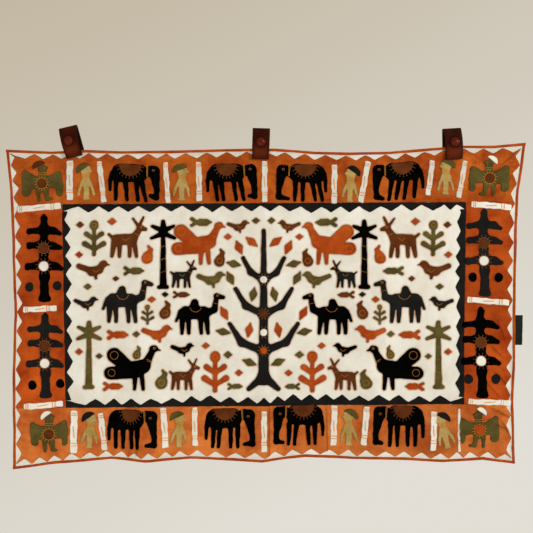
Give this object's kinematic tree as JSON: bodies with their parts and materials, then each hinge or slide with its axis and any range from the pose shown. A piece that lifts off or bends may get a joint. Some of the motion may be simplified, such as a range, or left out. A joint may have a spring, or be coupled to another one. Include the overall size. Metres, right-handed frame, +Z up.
{
  "type": "applique wall hanging with leather hanging straps",
  "caption": "Oblong cotton applique wall hanging with saw tooth bands and a border of animals, held along its top edge by folded leather straps with studs.",
  "frame": {"origin": "on the wall plane, behind the stud of the middle strap, on the flat back face of its back leaf", "axes": "+X to the right along the cloth, +Y out of its back into the wall, +Z up, the front faces -Y"},
  "size_m": [1.2199, 0.0197, 0.8063],
  "materials": {
    "white_cotton": "matt undyed cotton weave",
    "orange_cotton": "matt mottled rust orange cotton weave",
    "rust_cotton": "matt rust red cotton weave",
    "charcoal_cotton": "matt charcoal cotton weave",
    "black_cotton": "matt black cotton weave",
    "brown_cotton": "matt brown cotton weave",
    "olive_cotton": "matt olive cotton weave",
    "cream_cotton": "matt cream yellow cotton weave",
    "label_cloth": "plain dark green woven tape",
    "strap_leather": "smooth waxed dark brown leather",
    "stud_lacquer": "glossy dark red brown"
  },
  "bodies": {
    "root": {"ground_cloth": "white_cotton", "binding_top": "rust_cotton", "binding_bottom": "rust_cotton", "binding_left": "rust_cotton", "binding_right": "rust_cotton", "band_top": "orange_cotton", "band_bottom": "orange_cotton", "band_left": "orange_cotton", "band_right": "orange_cotton", "saw_strip_top": "charcoal_cotton", "saw_strip_bottom": "charcoal_cotton", "saw_strip_left": "charcoal_cotton", "saw_strip_right": "charcoal_cotton", "elephant_top_1": "black_cotton", "elephant_top_2": "black_cotton", "elephant_top_3": "black_cotton", "elephant_top_4": "black_cotton", "elephant_bottom_1": "black_cotton", "elephant_bottom_2": "black_cotton", "elephant_bottom_3": "black_cotton", "elephant_bottom_4": "black_cotton", "figure_top_1": "cream_cotton", "figure_top_2": "cream_cotton", "figure_top_3": "cream_cotton", "figure_top_4": "cream_cotton", "figure_bottom_1": "cream_cotton", "figure_bottom_2": "cream_cotton", "figure_bottom_3": "cream_cotton", "figure_bottom_4": "cream_cotton", "bird_top_left": "olive_cotton", "bird_top_right": "olive_cotton", "bird_bottom_left": "olive_cotton", "bird_bottom_right": "olive_cotton", "tree_left_upper": "black_cotton", "tree_left_lower": "charcoal_cotton", "tree_right_upper": "charcoal_cotton", "tree_right_lower": "black_cotton", "field_tree": "charcoal_cotton", "field_peacock_upper_left": "rust_cotton", "field_peacock_upper_right": "rust_cotton", "field_palm_upper_left": "black_cotton", "field_palm_upper_right": "black_cotton", "field_deer_left": "brown_cotton", "field_deer_right": "brown_cotton", "field_camel_inner_left": "black_cotton", "field_camel_inner_right": "black_cotton", "field_camel_outer_left": "charcoal_cotton", "field_camel_outer_right": "charcoal_cotton", "field_palm_lower_left": "olive_cotton", "field_palm_lower_right": "olive_cotton", "field_peacock_lower_left": "black_cotton", "field_peacock_lower_right": "black_cotton", "label_tab": "label_cloth", "strap_left": "strap_leather", "strap_middle": "strap_leather", "strap_right": "strap_leather", "stud_left": "stud_lacquer", "stud_middle": "stud_lacquer", "stud_right": "stud_lacquer"}
  },
  "joints": []
}
